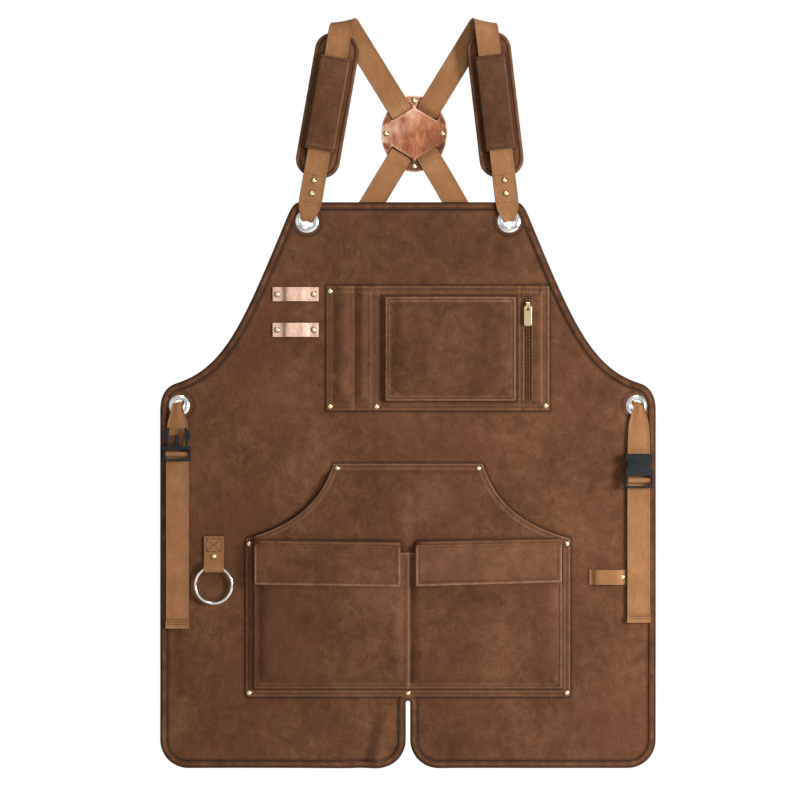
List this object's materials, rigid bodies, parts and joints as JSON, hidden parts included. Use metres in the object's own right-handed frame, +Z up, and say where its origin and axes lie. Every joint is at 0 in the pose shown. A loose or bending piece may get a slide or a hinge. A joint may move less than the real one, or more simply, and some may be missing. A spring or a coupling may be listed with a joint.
{
  "type": "butcher apron",
  "caption": "Waxed canvas bib apron with crossed padded shoulder straps, chest and lower pockets, tool loops, towel ring and a side-release waist buckle, hanging from its strap bends.",
  "frame": {"origin": "under the two shoulder strap bends, midway between the apron's sides, where a hanger or shoulders hold it", "axes": "+Z up, +X to the right as seen from the front, front faces -Y"},
  "size_m": [0.684, 0.0354, 1.0357],
  "materials": {
    "canvas": "waxed, mottled, matt with a faint sheen",
    "edge_canvas": "waxed, folded and stitched",
    "webbing": "tan cotton twill, matt",
    "nickel": "bright nickel plate",
    "brass": "polished, worn bright on the crown",
    "plate_leather": "glazed, marbled",
    "loop_leather": "undyed, matt",
    "zip_tape": "woven tape",
    "black_plastic": "moulded, satin",
    "foam": "closed-cell foam, hidden"
  },
  "bodies": {
    "apron": {"canvas_panel": "canvas", "pen_pocket": "canvas", "chest_patch": "canvas", "inset_pocket": "canvas", "hand_pocket": "canvas", "lower_pocket": "canvas", "flap_seams": "canvas", "edge_binding": "edge_canvas", "left_shoulder_strap": "webbing", "right_shoulder_strap": "webbing", "ring_tab": "webbing", "hammer_loop": "webbing", "bib_eyelets": "nickel", "bib_washers": "nickel", "waist_eyelets": "nickel", "waist_washers": "nickel", "strap_rivets": "brass", "cross_plate_rivets": "brass", "tool_loop_rivets": "brass", "chest_rivets": "brass", "pocket_rivets": "brass", "ring_tab_rivet": "brass", "hammer_loop_rivet": "brass", "zip_stops": "brass", "zip_teeth": "brass", "cross_plate_front": "plate_leather", "cross_plate_back": "plate_leather", "upper_tool_loop": "loop_leather", "lower_tool_loop": "loop_leather", "zip_tapes": "zip_tape"},
    "zip_slider": {"zip_slider": "brass"},
    "zip_pull": {"zip_pull": "brass"},
    "left_flap": {"left_flap": "canvas"},
    "right_flap": {"right_flap": "canvas"},
    "towel_ring": {"towel_ring": "nickel"},
    "left_tie": {"left_waist_strap": "webbing"},
    "right_tie": {"right_waist_strap": "webbing"},
    "left_buckle": {"male_buckle": "black_plastic", "left_bight": "webbing"},
    "outer_prong": {"outer_prong": "black_plastic"},
    "inner_prong": {"inner_prong": "black_plastic"},
    "right_buckle": {"female_buckle": "black_plastic", "right_bight": "webbing"},
    "left_pad": {"left_pad_cover": "canvas", "left_pad_foam": "foam", "left_pad_binding": "edge_canvas", "left_pad_sleeve": "canvas"},
    "right_pad": {"right_pad_cover": "canvas", "right_pad_foam": "foam", "right_pad_binding": "edge_canvas", "right_pad_sleeve": "canvas"}
  },
  "joints": [
    {"name": "zip_slide", "type": "slide", "parent": "apron", "child": "zip_slider", "axis": [0, 0, -1], "range_m": [0, 0.13]},
    {"name": "zip_pull_swing", "type": "hinge", "parent": "zip_slider", "child": "zip_pull", "pos_m": [0.165, -0.0117, -0.3871], "axis": [-1, 0, 0], "range_deg": [0, 150]},
    {"name": "left_flap_lift", "type": "hinge", "parent": "apron", "child": "left_flap", "pos_m": [-0.111, -0.0144, -0.7165], "axis": [-1, 0, 0], "range_deg": [0, 155]},
    {"name": "right_flap_lift", "type": "hinge", "parent": "apron", "child": "right_flap", "pos_m": [0.111, -0.0144, -0.7165], "axis": [-1, 0, 0], "range_deg": [0, 155]},
    {"name": "towel_ring_swing", "type": "hinge", "parent": "apron", "child": "towel_ring", "pos_m": [-0.2677, -0.0059, -0.752], "axis": [-1, 0, 0], "range_deg": [0, 150]},
    {"name": "left_tie_swing", "type": "hinge", "parent": "apron", "child": "left_tie", "pos_m": [-0.318, -0.0027, -0.528], "axis": [-1, 0, 0], "range_deg": [0, 80]},
    {"name": "right_tie_swing", "type": "hinge", "parent": "apron", "child": "right_tie", "pos_m": [0.318, -0.0027, -0.528], "axis": [-1, 0, 0], "range_deg": [0, 80]},
    {"name": "left_buckle_slide", "type": "slide", "parent": "left_tie", "child": "left_buckle", "axis": [0, 0, -1], "range_m": [-0.01, 0.16]},
    {"name": "right_buckle_slide", "type": "slide", "parent": "right_tie", "child": "right_buckle", "axis": [0, 0, -1], "range_m": [-0.03, 0.15]},
    {"name": "outer_prong_flex", "type": "hinge", "parent": "left_buckle", "child": "outer_prong", "pos_m": [-0.3312, -0.0101, -0.5837], "axis": [0, 1, 0], "range_deg": [0, 6], "stiffness_Nm_per_rad": 0.6},
    {"name": "inner_prong_flex", "type": "hinge", "parent": "left_buckle", "child": "inner_prong", "pos_m": [-0.3048, -0.0101, -0.5837], "axis": [0, -1, 0], "range_deg": [0, 6], "stiffness_Nm_per_rad": 0.6},
    {"name": "left_pad_slide", "type": "slide", "parent": "apron", "child": "left_pad", "axis": [-0.1737, 0.0319, -0.9843], "range_m": [-0.004, 0.018]},
    {"name": "right_pad_slide", "type": "slide", "parent": "apron", "child": "right_pad", "axis": [0.1169, 0.0319, -0.9926], "range_m": [-0.004, 0.018]}
  ]
}
